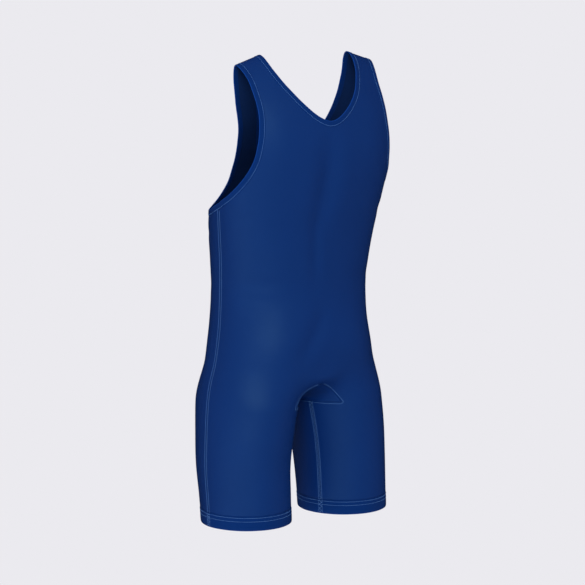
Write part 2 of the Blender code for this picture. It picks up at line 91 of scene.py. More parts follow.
# %% Sections of the torso and of a leg
TORSO = (
    # drop, half_width, side_y, front_y, back_y, squareness (2 is an ellipse)
    (0.000, 0.196, 0.000, 0.000, 0.000, 2.4),
    (0.012, 0.195, 0.005, -0.009, 0.023, 2.4),
    (0.045, 0.195, 0.007, -0.011, 0.049, 2.4),
    (0.080, 0.194, 0.006, -0.016, 0.070, 2.4),
    (0.120, 0.190, 0.003, -0.030, 0.084, 2.4),
    (0.160, 0.184, -0.003, -0.056, 0.090, 2.4),
    (0.205, 0.176, -0.011, -0.090, 0.087, 2.4),
    (0.250, 0.169, -0.020, -0.116, 0.078, 2.4),
    (0.300, 0.161, -0.029, -0.136, 0.067, 2.4),
    (0.355, 0.153, -0.037, -0.143, 0.062, 2.35),
    (0.406, 0.149, -0.043, -0.144, 0.059, 2.3),
    (0.460, 0.151, -0.044, -0.147, 0.062, 2.3),
    (0.520, 0.159, -0.043, -0.150, 0.068, 2.3),
    (0.570, 0.168, -0.042, -0.150, 0.066, 2.3),
    (0.630, 0.178, -0.040, -0.144, 0.060, 2.3),
    (0.840, 0.185, -0.036, -0.138, 0.054, 2.3),
)
LEG = (
    # drop, axis_x, axis_y, half_width, half_depth
    (0.000, 0.078, -0.042, 0.082, 0.108),
    (0.470, 0.078, -0.042, 0.082, 0.108),
    (0.520, 0.080, -0.043, 0.084, 0.108),
    (0.570, 0.086, -0.044, 0.087, 0.1075),
    (0.610, 0.093, -0.0425, 0.0855, 0.105),
    (0.670, 0.102, -0.038, 0.0830, 0.098),
    (0.725, 0.107, -0.035, 0.0810, 0.092),
    (0.780, 0.1075, -0.029, 0.0805, 0.086),
    (0.828, 0.1075, -0.025, 0.0800, 0.083),
    (0.890, 0.1075, -0.022, 0.0790, 0.081),
)


def smooth_curve(knots, values, where):
    """A cubic through the values: at each knot its slope is the mean of the two chords that meet there."""
    knots = np.asarray(knots, float)
    values = np.asarray(values, float)
    chords = np.diff(values) / np.diff(knots)
    slopes = np.concatenate([chords[:1], (chords[:-1] + chords[1:]) / 2, chords[-1:]])
    where = np.clip(where, knots[0], knots[-1])
    span = np.clip(np.searchsorted(knots, where, side="right") - 1, 0, len(knots) - 2)
    length = knots[span + 1] - knots[span]
    t = (where - knots[span]) / length
    start = (1 + 2 * t) * (1 - t) ** 2 * values[span] + t * (1 - t) ** 2 * length * slopes[span]
    end = t**2 * (3 - 2 * t) * values[span + 1] + t**2 * (t - 1) * length * slopes[span + 1]
    return start + end


def section(table, level):
    """The columns of a table, after its drop, at each level."""
    rows = np.array(table)
    return [smooth_curve(np.sqrt(rows[:, 0]), rows[:, i], level) for i in range(1, rows.shape[1])]


waist_drop = 0.406
print(f"the waist is {2000 * section(TORSO, sqrt(waist_drop))[0]:.0f} mm wide")

# %% [markdown]
# A torso and two legs could be modelled apart and joined by a Boolean, but the join would leave a sharp
# line. Instead both are written as one number for each place, below 0 inside and above 0 outside. Mixing
# the two numbers makes the torso melt into the legs, and a soft minimum of the two legs rounds the crotch.

# %% Inside or outside
TORSO_ENDS = 0.535
LEGS_BEGIN = 0.616
SEAT_REACHES_LOWER = 0.028
SEAT_SPREAD = 0.050
CROTCH_SOFTNESS = 0.16
LEAST_DEPTH = 1e-9


def ease(value, start, end):
    """0 before start, 1 after end, and 3t^2 - 2t^3 between."""
    t = np.clip((value - start) / (end - start), 0, 1)
    return t * t * (3 - 2 * t)


def outside(x, y, level):
    """Below 0 inside the figure and above 0 outside.

    The torso is |x/a|^n + |y/b|^n - 1. A leg is (x/a)^2 + (y/b)^2 - 1, and the soft minimum of the near and
    the far leg is near - s log(1 + e^((near - far)/s)). The share of the legs grows with the drop, and later
    in the middle, where the seat reaches lower.
    """
    half_width, side_y, front_y, back_y, square = section(TORSO, level)
    depth = np.maximum(np.where(y > side_y, back_y - side_y, side_y - front_y), LEAST_DEPTH)
    torso = np.abs(x / half_width) ** square + np.abs((y - side_y) / depth) ** square - 1
    axis_x, axis_y, leg_width, leg_depth = section(LEG, level)
    along = ((y - axis_y) / leg_depth) ** 2
    near = ((np.abs(x) - axis_x) / leg_width) ** 2 + along
    far = ((np.abs(x) + axis_x) / leg_width) ** 2 + along
    legs = near - CROTCH_SOFTNESS * np.log1p(np.exp((near - far) / CROTCH_SOFTNESS)) - 1
    lower = SEAT_REACHES_LOWER * np.exp(-((x / SEAT_SPREAD) ** 2))
    share = ease(level**2, TORSO_ENDS + lower, LEGS_BEGIN)
    return (1 - share) * torso + share * legs


print("the middle of the waist is inside:", bool(outside(0.0, -0.04, sqrt(waist_drop)) < 0))

# %% [markdown]
# ## Places on the cloth
#
# A place has two numbers, an angle seen from above (0 at the left side, 90 degrees at the centre of the
# back, -90 at the centre of the front) and a level. The cloth's point there is found by following a level
# ray out of an axis until it leaves the figure. Halving the interval again and again does that for whole
# arrays at once. The axis runs down the middle of the torso and then moves over into the left leg, so the
# same two numbers also go all the way round the thigh.

# %% From places to points
AXIS_LEAVES_TORSO = 0.43
AXIS_REACHES_LEG = 0.59
STRAP_MIDDLE = 0.119
SHOULDER_SLOPE = 0.31
SLOPE_ENDS = 0.22
HALVINGS = 36
RAY_REACH = 1.6


def first_crossing(outside_at, shape, reach):
    """The distance at which outside_at turns from below 0 to above 0, found by halving."""
    low = np.zeros(shape)
    high = np.full(shape, reach)
    for _ in range(HALVINGS):
        middle = (low + high) / 2
        inside = outside_at(middle) < 0
        low = np.where(inside, middle, low)
        high = np.where(inside, high, middle)
    return (low + high) / 2


def axis(angle, level):
    """Where the rays start at this level, and one ray's reach across and along the figure."""
    half_width, side_y, front_y, back_y, _ = section(TORSO, level)
    axis_x, axis_y, leg_width, leg_depth = section(LEG, level)
    share = ease(level**2, AXIS_LEAVES_TORSO, AXIS_REACHES_LEG)
    depth = np.maximum(np.where(np.sin(angle) > 0, back_y - side_y, side_y - front_y), LEAST_DEPTH)
    across = half_width + share * (leg_width - half_width)
    along = depth + share * (leg_depth - depth)
    return share * axis_x, side_y + share * (axis_y - side_y), across, along


def cloth(angle, level):
    """The points of the cloth at these places. The height is -drop, less a slope outwards at the straps."""
    angle, level = np.broadcast_arrays(np.asarray(angle, float), np.asarray(level, float))
    centre_x, centre_y, across, along = axis(angle, level)
    step_x = across * np.cos(angle)
    step_y = along * np.sin(angle)
    distance = first_crossing(
        lambda far: outside(centre_x + far * step_x, centre_y + far * step_y, level),
        angle.shape,
        RAY_REACH,
    )
    x = centre_x + distance * step_x
    drop = level**2
    fade = 1 - ease(drop, 0, SLOPE_ENDS)
    height = -drop - SHOULDER_SLOPE * (np.abs(x) - STRAP_MIDDLE) * fade
    return np.stack([x, centre_y + distance * step_y, height], axis=-1)


def run_length(points):
    """The distance along a row of points, from its start to each of them."""
    steps = np.linalg.norm(np.diff(points, axis=0), axis=-1)
    return np.concatenate([np.zeros_like(steps[:1]), np.cumsum(steps, axis=0)])


waist = cloth(np.radians(np.arange(-180, 181, 5)), sqrt(waist_drop))
print(f"the waist is {1000 * run_length(waist)[-1]:.0f} mm round")

# %% [markdown]
# Bands, creases and threads all need to know which way the cloth faces and how it runs. Both come from
# changing one number of a place a little and looking how far the point moves.

# %% Which way the cloth runs
SMALL_STEP = 1e-4


def unit(vectors):
    """Vectors scaled to a length of 1."""
    return vectors / np.linalg.norm(vectors, axis=-1, keepdims=True)


def slopes(angle, level):
    """How a point of the cloth moves with its angle and with its level."""
    higher = level + SMALL_STEP
    lower = np.maximum(level - SMALL_STEP, 0)
    by_angle = (cloth(angle + SMALL_STEP, level) - cloth(angle - SMALL_STEP, level)) / (2 * SMALL_STEP)
    by_level = (cloth(angle, higher) - cloth(angle, lower)) / (higher - lower)[..., None]
    return by_angle, by_level


def outward(angle, level):
    """The unit normal: the cross product of the two slopes."""
    by_angle, by_level = slopes(angle, np.asarray(level, float))
    return unit(np.cross(by_level, by_angle))


print("the middle of the back faces", outward(pi / 2, sqrt(waist_drop)).round(2))

# %% [markdown]
# ## The free edges
#
# The neck's edge is a quarter of a rounded oval on each side of the strap top, deeper in front than
# behind. The armhole's edge is drawn through a few listed places. Along both, the places are spread so
# that the points of the cloth lie equally far apart.

# %% Edges of the neck and of an armhole
FINER = 5
NECK_ROWS = 14 * FINER
ARMHOLE_ROWS = 20 * FINER
FINE_STEPS = 1200
SIGN = {"back": 1, "front": -1}
NECK_HALF_WIDTH = 0.0945
NECK_ROUNDNESS = {"back": 1.55, "front": 1.65}
NECK_DROP = {"back": 0.122, "front": 0.215}
ARMHOLE = {
    "back": (
        # drop, angle in degrees
        (0.000, 44.8),
        (0.028, 47.2),
        (0.055, 47.8),
        (0.083, 47.6),
        (0.112, 46.0),
        (0.142, 43.1),
        (0.175, 38.2),
        (0.205, 29.4),
        (0.230, 16.8),
        (0.249, 0.0),
    ),
    "front": (
        (0.000, 44.8),
        (0.032, 45.2),
        (0.072, 47.4),
        (0.112, 51.2),
        (0.155, 55.0),
        (0.198, 57.2),
        (0.232, 55.0),
        (0.258, 45.0),
        (0.266, 25.5),
        (0.249, 0.0),
    ),
}


def spread(curve, count):
    """A curve of places, read at count + 1 spots that are equally far apart on the cloth."""
    fine = np.linspace(0, 1, FINE_STEPS)
    along = run_length(cloth(*curve(fine)))
    return curve(np.interp(np.linspace(0, 1, count + 1), along / along[-1], fine))


def neck_edge(side):
    """Strap top to middle: drop = depth sin(t)^(2/n) and x = width cos(t)^(2/n), for t from 0 to 90."""

    def curve(t):
        turn = t * pi / 2
        drop = NECK_DROP[side] * np.sin(turn) ** (2 / NECK_ROUNDNESS[side])
        x = NECK_HALF_WIDTH * np.maximum(np.cos(turn), 0) ** (2 / NECK_ROUNDNESS[side])
        level = np.sqrt(drop)
        half_width, _, _, _, square = section(TORSO, level)
        share = x / half_width
        return SIGN[side] * np.arctan2((1 - share**square) ** (1 / square), share), level

    return spread(curve, NECK_ROWS)


def armhole_edge(side):
    """Strap top to side seam, a smooth curve through the table's places."""
    rows = np.array(ARMHOLE[side])
    knots = np.linspace(0, 1, len(rows))

    def curve(t):
        drop = np.maximum(smooth_curve(knots, rows[:, 0], t), 0)
        return SIGN[side] * np.radians(smooth_curve(knots, rows[:, 1], t)), np.sqrt(drop)

    return spread(curve, ARMHOLE_ROWS)


for side in SIGN:
    lengths = [1000 * run_length(cloth(*edge(side)))[-1] for edge in (neck_edge, armhole_edge)]
    print(f"{side}: half of the neck is {lengths[0]:.0f} mm long, an armhole {lengths[1]:.0f} mm")

# %% [markdown]
# A band is 10 mm wide, so its seam is the edge moved 10 mm along the cloth. A straight offset would leave
# the surface. Here each small step stays in the cloth's tangent plane, and the change of angle and level
# that gives the step comes from two linear equations.

# %% Seams of the bands
BAND_WIDTH = 0.010
MIRROR = np.array((-1, 1, 1))


def move_across(angle, level, tangent, distance, steps=5):
    """Each place moved this far to the right of its tangent, seen from outside, along the cloth."""
    for _ in range(steps):
        by_angle, by_level = slopes(angle, level)
        normal = unit(np.cross(by_level, by_angle))
        step = unit(np.cross(tangent, normal)) * distance / steps
        a = (by_angle * by_angle).sum(-1)
        b = (by_angle * by_level).sum(-1)
        c = (by_level * by_level).sum(-1)
        p = (step * by_angle).sum(-1)
        q = (step * by_level).sum(-1)
        angle = angle + (c * p - b * q) / (a * c - b * b)
        level = np.maximum(level + (a * q - b * p) / (a * c - b * b), 0)
    return angle, level


def closed(loop):
    """A loop with its first entry repeated at its end."""
    return np.concatenate([loop, loop[:1]])


def neck_lines():
    """The free edge and the seam of the neck, from the middle of the front over the strap to the back."""
    front = neck_edge("front")
    back = neck_edge("back")
    angle = np.concatenate([front[0][::-1], back[0][1:]])
    level = np.concatenate([front[1][::-1], back[1][1:]])
    points = cloth(angle, level)
    mirrored = points * MIRROR
    longer = np.concatenate([mirrored[1:2], points, mirrored[-2:-1]])
    seam = move_across(angle, level, unit(longer[2:] - longer[:-2]), BAND_WIDTH)
    seam[0][[0, -1]] = -pi / 2, pi / 2
    seam[1][NECK_ROWS] = 0
    return (angle, level), seam


def armhole_lines():
    """The free edge and the seam of the left armhole, a loop: down its back and up its front."""
    back = armhole_edge("back")
    front = armhole_edge("front")
    angle = np.concatenate([back[0], front[0][-2:0:-1]])
    level = np.concatenate([back[1], front[1][-2:0:-1]])
    points = cloth(angle, level)
    tangent = unit(np.roll(points, -1, axis=0) - np.roll(points, 1, axis=0))
    seam = move_across(angle, level, -tangent, BAND_WIDTH)
    seam[1][0] = 0
    return (angle, level), seam


NECK_EDGE, NECK_SEAM = neck_lines()
ARMHOLE_EDGE, ARMHOLE_SEAM = armhole_lines()
print(f"neck edge: {2000 * run_length(cloth(*NECK_EDGE))[-1]:.0f} mm round")
print(f"armhole edge: {1000 * run_length(closed(cloth(*ARMHOLE_EDGE)))[-1]:.0f} mm round")

# %% [markdown]
# ## The panels' cut
#
# The front and the back are cut on the fold, so one half is enough, and the other is its mirror image. At
# the crotch the fold ends on the gusset, a kite with a blunt end in front and behind. Its seam runs down
# to a corner on the thigh and then on to the inseam.

# %% The fold and the gusset's seam
CORNER_ROWS = 3 * FINER
GUSSET_EDGE_ROWS = 5 * FINER
GUSSET_TOP_DROP = 0.580
GUSSET_EDGE_DROP = 0.617
GUSSET_BLUNT_END = 0.005
GUSSET_CORNER = {"back": radians(120), "front": radians(-146)}
INSEAM = radians(156)
WIDEST_DEPTH = 0.2


def angle_of(x, y, level, side):
    """The angle whose ray passes through this spot."""
    centre_x, centre_y, across, along = axis(np.full(np.shape(level), SIGN[side] * pi / 2), level)
    return np.arctan2((y - centre_y) / along, (x - centre_x) / across)


def midline(level, side):
    """The angle of the centre front or centre back at each level."""
    side_y = section(TORSO, level)[1]
    depth = first_crossing(
        lambda far: outside(0 * far, side_y + SIGN[side] * far, level),
        np.shape(level),
        WIDEST_DEPTH,
    )
    return angle_of(0, side_y + SIGN[side] * depth, level, side)


def gusset_edge(side):
    """The gusset's seam, from its blunt end at the fold by its corner to the inseam."""
    level = np.array(sqrt(GUSSET_TOP_DROP))
    start_y = cloth(midline(level, side), level)[1]
    start = angle_of(GUSSET_BLUNT_END, start_y, level, side)
    corner = GUSSET_CORNER[side]
    inseam = INSEAM if side == "back" else INSEAM - 2 * pi
    down = np.linspace(0, 1, CORNER_ROWS + 1)
    across = np.linspace(0, 1, GUSSET_EDGE_ROWS + 1)[1:]
    angle = np.concatenate([start + down * (corner - start), corner + across * (inseam - corner)])
    drop = GUSSET_TOP_DROP + down * (GUSSET_EDGE_DROP - GUSSET_TOP_DROP)
    return angle, np.sqrt(np.concatenate([drop, np.full(GUSSET_EDGE_ROWS, GUSSET_EDGE_DROP)]))


for side in SIGN:
    print(f"{side}: the gusset's seam is {1000 * run_length(cloth(*gusset_edge(side)))[-1]:.0f} mm long")

# %% [markdown]
# Half a panel is a grid. Its rows run from an inner edge (neck seam, then the fold, the gusset and the
# inseam) to an outer edge (armhole seam, then the side seam). The fold and the side seam are straight, so
# a few drops with their row numbers say all about them.

# %% Inner and outer edges
MIDLINE_ROWS = 20 * FINER
INSEAM_ROWS = 8 * FINER
SPLIT_ROW = NECK_ROWS + MIDLINE_ROWS
CORNER_ROW = SPLIT_ROW + 1 + CORNER_ROWS
INSEAM_ROW = CORNER_ROW + GUSSET_EDGE_ROWS
LAST_ROW = INSEAM_ROW + INSEAM_ROWS
HEM_DROP = 0.826
LEG_BAND_WIDTH = 0.025

SIDE_SEAM = (
    # row, drop
    (SPLIT_ROW, 0.562),
    (CORNER_ROW, 0.630),
    (INSEAM_ROW, 0.690),
    (LAST_ROW, HEM_DROP - LEG_BAND_WIDTH),
)
MIDLINE = {
    "back": (
        # row, drop
        (ARMHOLE_ROWS, 0.225),
        (SPLIT_ROW, GUSSET_TOP_DROP),
    ),
    "front": (
        (NECK_ROWS + FINER, 0.265),
        (ARMHOLE_ROWS, 0.350),
        (SPLIT_ROW, GUSSET_TOP_DROP),
    ),
}


def neck_side(side):
    """The part of the neck's seam that this panel has, from the strap top down."""
    part = slice(NECK_ROWS, None, -1) if side == "front" else slice(NECK_ROWS, None)
    return SIGN[side] * np.abs(NECK_SEAM[0][part]), NECK_SEAM[1][part]


def armhole_side(side):
    """The part of the armhole's seam that this panel has, from the strap top to where its angle is 0."""
    angle, level = ARMHOLE_SEAM
    if side == "front":
        angle = np.concatenate([-angle[:1], angle[:0:-1]])
        level = np.concatenate([level[:1], level[:0:-1]])
    past = np.argmax(SIGN[side] * angle <= 0)
    # between two steps: where a straight line through their angles meets 0
    end = past - angle[past] / (angle[past] - angle[past - 1])
    at = np.linspace(0, end, ARMHOLE_ROWS + 1)
    steps = np.arange(len(angle))
    return np.interp(at, steps, angle), np.interp(at, steps, level)


def inner_boundary(side):
    """The neck's seam, the fold, the gusset's seam and the inseam, one after the other."""
    neck_angle, neck_level = neck_side(side)
    rows, drops = zip((NECK_ROWS, neck_level[-1] ** 2), *MIDLINE[side])
    middle_level = np.sqrt(np.interp(np.arange(NECK_ROWS + 1, SPLIT_ROW + 1), rows, drops))
    edge_angle, edge_level = gusset_edge(side)
    inseam_drop = np.linspace(GUSSET_EDGE_DROP, HEM_DROP - LEG_BAND_WIDTH, INSEAM_ROWS + 1)[1:]
    angles = [neck_angle, midline(middle_level, side), edge_angle, np.full(INSEAM_ROWS, edge_angle[-1])]
    levels = [neck_level, middle_level, edge_level, np.sqrt(inseam_drop)]
    return np.concatenate(angles), np.concatenate(levels)


def outer_boundary(side):
    """The armhole's seam and then the side seam."""
    angle, level = armhole_side(side)
    rows, drops = zip((ARMHOLE_ROWS, level[-1] ** 2), *SIDE_SEAM)
    drop = np.interp(np.arange(ARMHOLE_ROWS + 1, LAST_ROW + 1), rows, drops)
    return np.concatenate([angle, 0 * drop]), np.concatenate([level, np.sqrt(drop)])


print("places along each edge:", len(inner_boundary("back")[0]), len(outer_boundary("back")[0]))

# %% [markdown]
# The columns crowd near both edges, where the cloth dips into its seams. The rows of the front bend down
# on their way out, to pass under the deep armhole.

# %% Half panels
COLUMNS = 48
EDGE_CROWDING = 0.8
FRONT_ROW_BEND = (
    # row, bend (1 is a straight row)
    (NECK_ROWS, 1.0),
    (NECK_ROWS + 2 * FINER, 2.5),
    (ARMHOLE_ROWS, 3.0),
    (ARMHOLE_ROWS + 7 * FINER, 1.0),
)


def panel_places(side):
    """Angles and levels of a half panel: each row mixes its inner and its outer end."""
    even = np.linspace(0, 1, COLUMNS + 1)
    share = (1 - EDGE_CROWDING) * even + EDGE_CROWDING * (1 - np.cos(pi * even)) / 2
    rows, bends = zip(*FRONT_ROW_BEND)
    bend = np.interp(np.arange(LAST_ROW + 1), rows, bends)[:, None]
    bent = share**bend if side == "front" else share + 0 * bend
    inner = inner_boundary(side)
    outer = outer_boundary(side)
    angle = inner[0][:, None] * (1 - share) + outer[0][:, None] * share
    level = inner[1][:, None] * (1 - bent) + outer[1][:, None] * bent
    return angle, level


PLACES = {side: panel_places(side) for side in SIGN}
print("places of a half panel:", PLACES["back"][0].shape)

# %% [markdown]
# ## Creases
#
# Tight knit has few folds, but it is never as smooth as paint: it sinks along the spine, swells over the
# shoulder blades and the seat, and pulls into soft ripples at the waist and below the arms. A cloth
# simulation would need a body and would not put them where they belong. So each one is given as three
# places that a soft curve joins. A swelling is a crease of negative depth.

# %% Creases, listed one by one
CREASES = (
    # mirrored, then angle in degrees and drop of its start, middle and end, then half its width, its depth
    (False, 90, 0.115, 87, 0.215, 84, 0.345, 0.0210, 0.0056),
    (False, 84, 0.240, 83, 0.330, 85, 0.430, 0.0110, 0.0022),
    (False, 90, 0.430, 91, 0.490, 90, 0.550, 0.0150, 0.0032),
    (True, 62, 0.415, 65, 0.505, 68, 0.590, 0.0440, -0.0055),
    (True, 62, 0.040, 60, 0.125, 66, 0.215, 0.0360, -0.0030),
    (True, 22, 0.385, 45, 0.392, 66, 0.382, 0.0090, 0.0009),
    (False, 20, 0.425, 38, 0.418, 52, 0.424, 0.0070, 0.0006),
    (True, 15, 0.290, 30, 0.275, 46, 0.268, 0.0090, 0.0009),
    (False, -91, 0.250, -89, 0.330, -90, 0.430, 0.0150, 0.0014),
    (True, -25, 0.395, -42, 0.405, -62, 0.400, 0.0090, 0.0009),
    (False, -30, 0.437, -48, 0.441, -60, 0.446, 0.0080, 0.0007),
    (True, -20, 0.320, -36, 0.305, -55, 0.300, 0.0090, 0.0009),
)
CREASE_STEPS = 80


def crease_line(start, middle, end):
    """Points of the cloth along a crease: the parabola through three places."""
    t = np.linspace(0, 1, CREASE_STEPS)
    weights = (1 - t) * (1 - 2 * t), 4 * t * (1 - t), t * (2 * t - 1)
    places = [(radians(angle), sqrt(drop)) for angle, drop in (start, middle, end)]
    angle = sum(weight * place[0] for weight, place in zip(weights, places))
    level = sum(weight * place[1] for weight, place in zip(weights, places))
    return cloth(angle, level)


def crease_lines():
    """Each crease as its points, its half width and its depth. A mirrored one is there on both sides."""
    lines = []
    for mirrored, *places, width, depth in CREASES:
        points = crease_line(places[0:2], places[2:4], places[4:6])
        lines.append((points, width, depth))
        if mirrored:
            lines.append((points * MIRROR, width, depth))
    return lines


CREASE_LINES = crease_lines()
longest = max(run_length(line)[-1] for line, _, _ in CREASE_LINES)
print(f"{len(CREASE_LINES)} creases, the longest {1000 * longest:.0f} mm")

# %% [markdown]
# The panels, the bands and the threads are all moved by the same creases, so nothing comes loose from
# what it lies on. Beside a crease the cloth rises to a low lip, and along it the crease fades out at both
# ends, because a fold that ends abruptly looks carved.

# %% Cloth with its creases
REACH_IN_WIDTHS = 4
LIP_HEIGHT = 0.22
LIP_PLACE = 1.9
ROUNDNESS_OF_ENDS = 1.6


def creased(points, normals):
    """The points moved along their normals by every crease that passes near them."""
    flat = points.reshape(-1, 3)
    moved = np.zeros(len(flat))
    for line, width, depth in CREASE_LINES:
        reach = run_length(line)[-1] / 2 + REACH_IN_WIDTHS * width
        near = np.linalg.norm(flat - line.mean(axis=0), axis=1) < reach
        gaps = np.linalg.norm(flat[near, None] - line, axis=2)
        nearest = gaps.argmin(axis=1)
        far = gaps.min(axis=1) / width
        fade = np.sin(pi * nearest / (CREASE_STEPS - 1)) ** ROUNDNESS_OF_ENDS
        across = LIP_HEIGHT * np.exp(-((far - LIP_PLACE) ** 2)) - np.exp(-(far**2))
        moved[near] += depth * fade * across
    return points + normals * moved.reshape(points.shape[:-1])[..., None]


on_spine = CREASE_LINES[0][0][CREASE_STEPS // 2]
sunk = on_spine - creased(on_spine, np.array((0, 1, 0)))
print(f"the back sinks {1000 * sunk[1]:.1f} mm at the spine")

# %% [markdown]
# ## From grids to a mesh
#
# A piece is one or more grids of points, and its faces just join neighbours. The mesh takes the arrays as
# they are, with `foreach_set`, and a second set of numbers goes with each corner: a UV map in real
# metres, along and across the cloth, so that a knit pattern keeps its scale on every piece.

# %% A mesh from grids
def grid_faces(rows, columns, closed_rows=False, closed_columns=False):
    """Quads between the neighbours of a grid of points, row by row."""
    number = np.arange(rows * columns).reshape(rows, columns)
    if closed_rows:
        number = np.concatenate([number, number[:1]])
    if closed_columns:
        number = np.concatenate([number, number[:, :1]], axis=1)
    corners = [number[:-1, :-1], number[1:, :-1], number[1:, 1:], number[:-1, 1:]]
    return np.stack(corners, axis=-1).reshape(-1, 4)


def looking_out(points, normals, faces):
    """The same faces, turned round if they look against the normals."""
    a, b, c = (points[faces[:, i]] for i in range(3))
    facing = (np.cross(b - a, c - a) * normals[faces[:, 0]]).sum()
    return faces if facing > 0 else faces[:, ::-1]


def make_mesh(name, points, faces, uv):
    """A mesh object at the origin, from arrays of points, faces of equal size and a UV pair a point."""
    mesh = bpy.data.meshes.new(name)
    size = faces.shape[1]
    mesh.vertices.add(len(points))
    mesh.vertices.foreach_set("co", points.astype(np.float32).ravel())
    mesh.loops.add(faces.size)
    mesh.loops.foreach_set("vertex_index", faces.astype(np.int32).ravel())
    mesh.polygons.add(len(faces))
    mesh.polygons.foreach_set("loop_start", np.arange(0, faces.size, size, dtype=np.int32))
    mesh.uv_layers.new(name="cloth").data.foreach_set("uv", uv[faces].astype(np.float32).ravel())
    mesh.update(calc_edges=True)
    mesh.validate()
    mesh.shade_smooth()
    thing = bpy.data.objects.new(name, mesh)
    bpy.context.scene.collection.objects.link(thing)
    return thing


print("a strip of 2 by 3 points has", len(grid_faces(2, 3)), "faces")

# %% [markdown]
# ## The front and the back
#
# Each panel is one layer of knit, a little under a millimetre thick. Only its left half is worked out, and
# the right one is the mirror image, joined to it on the fold. The grid gives the outer face. A Solidify
# modifier adds the inner face and the rim, so the wall is equally thick everywhere.

# %% From half a grid to a piece of cloth
KNIT_THICKNESS = 0.0009
MERGE_DISTANCE = 1e-5


def both_halves(points, normals, faces, uv):
    """The arrays of a left half and of its mirror image, one after the other."""
    left = points, normals, faces, uv
    right = points * MIRROR, normals * MIRROR, faces[:, ::-1] + len(points), uv * (-1, 1)
    return [np.concatenate(pair) for pair in zip(left, right)]


def merge_fold(piece):
    """Joins the two halves where their points meet on the fold."""
    work = bmesh.new()
    work.from_mesh(piece.data)
    bmesh.ops.remove_doubles(work, verts=work.verts, dist=MERGE_DISTANCE)
    work.to_mesh(piece.data)
    work.free()


def give_thickness(piece, thickness):
    """A wall inwards from the outer face. Its inner face takes the piece's second material."""
    wall = piece.modifiers.new("wall", "SOLIDIFY")
    wall.thickness = thickness
    wall.offset = -1
    wall.material_offset = 1


def sewn_piece(node, points, normals, uv):
    """A piece from the grid of its left half: mirrored, creased, joined on the fold, given its wall."""
    faces = grid_faces(*points.shape[:2])
    points, normals, uv = (part.reshape(-1, part.shape[-1]) for part in (points, normals, uv))
    faces = looking_out(points, normals, faces)
    points, normals, faces, uv = both_halves(points, normals, faces, uv)
    piece = make_mesh(node + "_cloth", creased(points, normals), faces, uv)
    merge_fold(piece)
    give_thickness(piece, KNIT_THICKNESS)
    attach(piece, "root")
    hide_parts(node)
    print(piece.name, len(piece.data.polygons), "faces in its outer layer")
    return piece


print("the knit is", 1000 * KNIT_THICKNESS, "mm thick")

# %% [markdown]
# Beside a seam the cloth dips by a fraction of a millimetre. That small valley is what makes two patches
# of one smooth figure read as two pieces of cloth that were sewn together.

# %% Front and back panels
SEAM_DIP = 0.0004
SEAM_DIP_WIDTH = 0.0016
FAR_FROM_SEAMS = 1.0


def dipped(points, normals, to_seam):
    """The points sunk along their normals by d exp(-(s/w)^2), where s is the distance to a seam."""
    return points - normals * (SEAM_DIP * np.exp(-((to_seam / SEAM_DIP_WIDTH) ** 2)))[..., None]


def make_panel(side):
    """A front or back: its places as points, with the rows numbered from the strap top down."""
    angle, level = PLACES[side]
    points = cloth(angle, level)
    on_fold = slice(NECK_ROWS, SPLIT_ROW + 1)
    points[on_fold, 0, 0] = 0
    normals = outward(angle, level)
    normals[on_fold, 0, 0] = 0
    normals = unit(normals)
    across = run_length(points.transpose(1, 0, 2)).T
    down = run_length(points)
    row = np.arange(LAST_ROW + 1)[:, None]
    to_outer = np.where(row > ARMHOLE_ROWS, across[:, -1:] - across, FAR_FROM_SEAMS)
    to_inner = np.where(row > SPLIT_ROW, across, FAR_FROM_SEAMS)
    uv = np.stack([across + points[:, :1, 0], -down], axis=-1)
    points = dipped(points, normals, np.minimum(to_outer, to_inner))
    return sewn_piece(side + "_panel", points, normals, uv)


back_panel = make_panel("back")
front_panel = make_panel("front")

# %% [markdown]
# ## The gusset
#
# A small kite of cloth closes the crotch. It lets the legs spread and keeps four seams from meeting in one
# point. Its middle runs under the crotch, from the front to the back, and its two sides lie on the thighs.
# Level rays would only graze the middle, so there a ray swings down from the front to the back instead.

# %% The line under the crotch
def crotch_curve(count):
    """Points in the plane X = 0: a ray swings from the front to the back through straight down."""
    level = np.array(sqrt(GUSSET_TOP_DROP))
    middle_y = np.mean([cloth(midline(level, side), level)[1] for side in SIGN])

    def swing(t):
        turn = (t - 0.5) * pi
        forward = np.sin(turn)
        down = np.cos(turn)
        far = first_crossing(
            lambda far: outside(0 * t, middle_y + far * forward, np.sqrt(GUSSET_TOP_DROP + far * down)),
            t.shape,
            WIDEST_DEPTH,
        )
        return np.stack([0 * t, middle_y + far * forward, -GUSSET_TOP_DROP - far * down], axis=-1)

    fine = np.linspace(0, 1, FINE_STEPS)
    along = run_length(swing(fine))
    return swing(np.interp(np.linspace(0, 1, count), along / along[-1], fine))


crotch_length = run_length(crotch_curve(FINE_STEPS))[-1]
print(f"the gusset runs {1000 * crotch_length:.0f} mm under the crotch")

# %% [markdown]
# Between that line and the gusset's seam, the points are found along rays from inside the leg. Each ray
# goes through the straight chord between the two lines and on to the cloth. The normals are the direction
# in which the figure is left fastest.

# %% Gusset
GUSSET_COLUMNS = 20
GUSSET_HUB = {
    # its drop, its x as a share of the leg axis's, and its share of the way from that axis to the seam in y
    "drop": 0.54,
    "across": 0.70,
    "along": 0.35,
}
GUSSET_RAY_REACH = 1.5


def outside_point(points):
    """The same as outside, well below the shoulders, where the drop is just the height."""
    return outside(points[..., 0], points[..., 1], np.sqrt(-points[..., 2]))


def field_normal(points):
    """The direction in which the figure is left fastest: the gradient of outside, at unit length."""
    steps = SMALL_STEP * np.eye(3)
    return unit(np.stack([outside_point(points + step) - outside_point(points - step) for step in steps], -1))


def gusset_places():
    """The gusset's seam on the left thigh, from its front end by the inseam to its back end."""
    front = gusset_edge("front")
    back = gusset_edge("back")
    angle = np.concatenate([front[0], back[0][-2::-1]])
    return angle, np.concatenate([front[1], back[1][-2::-1]])


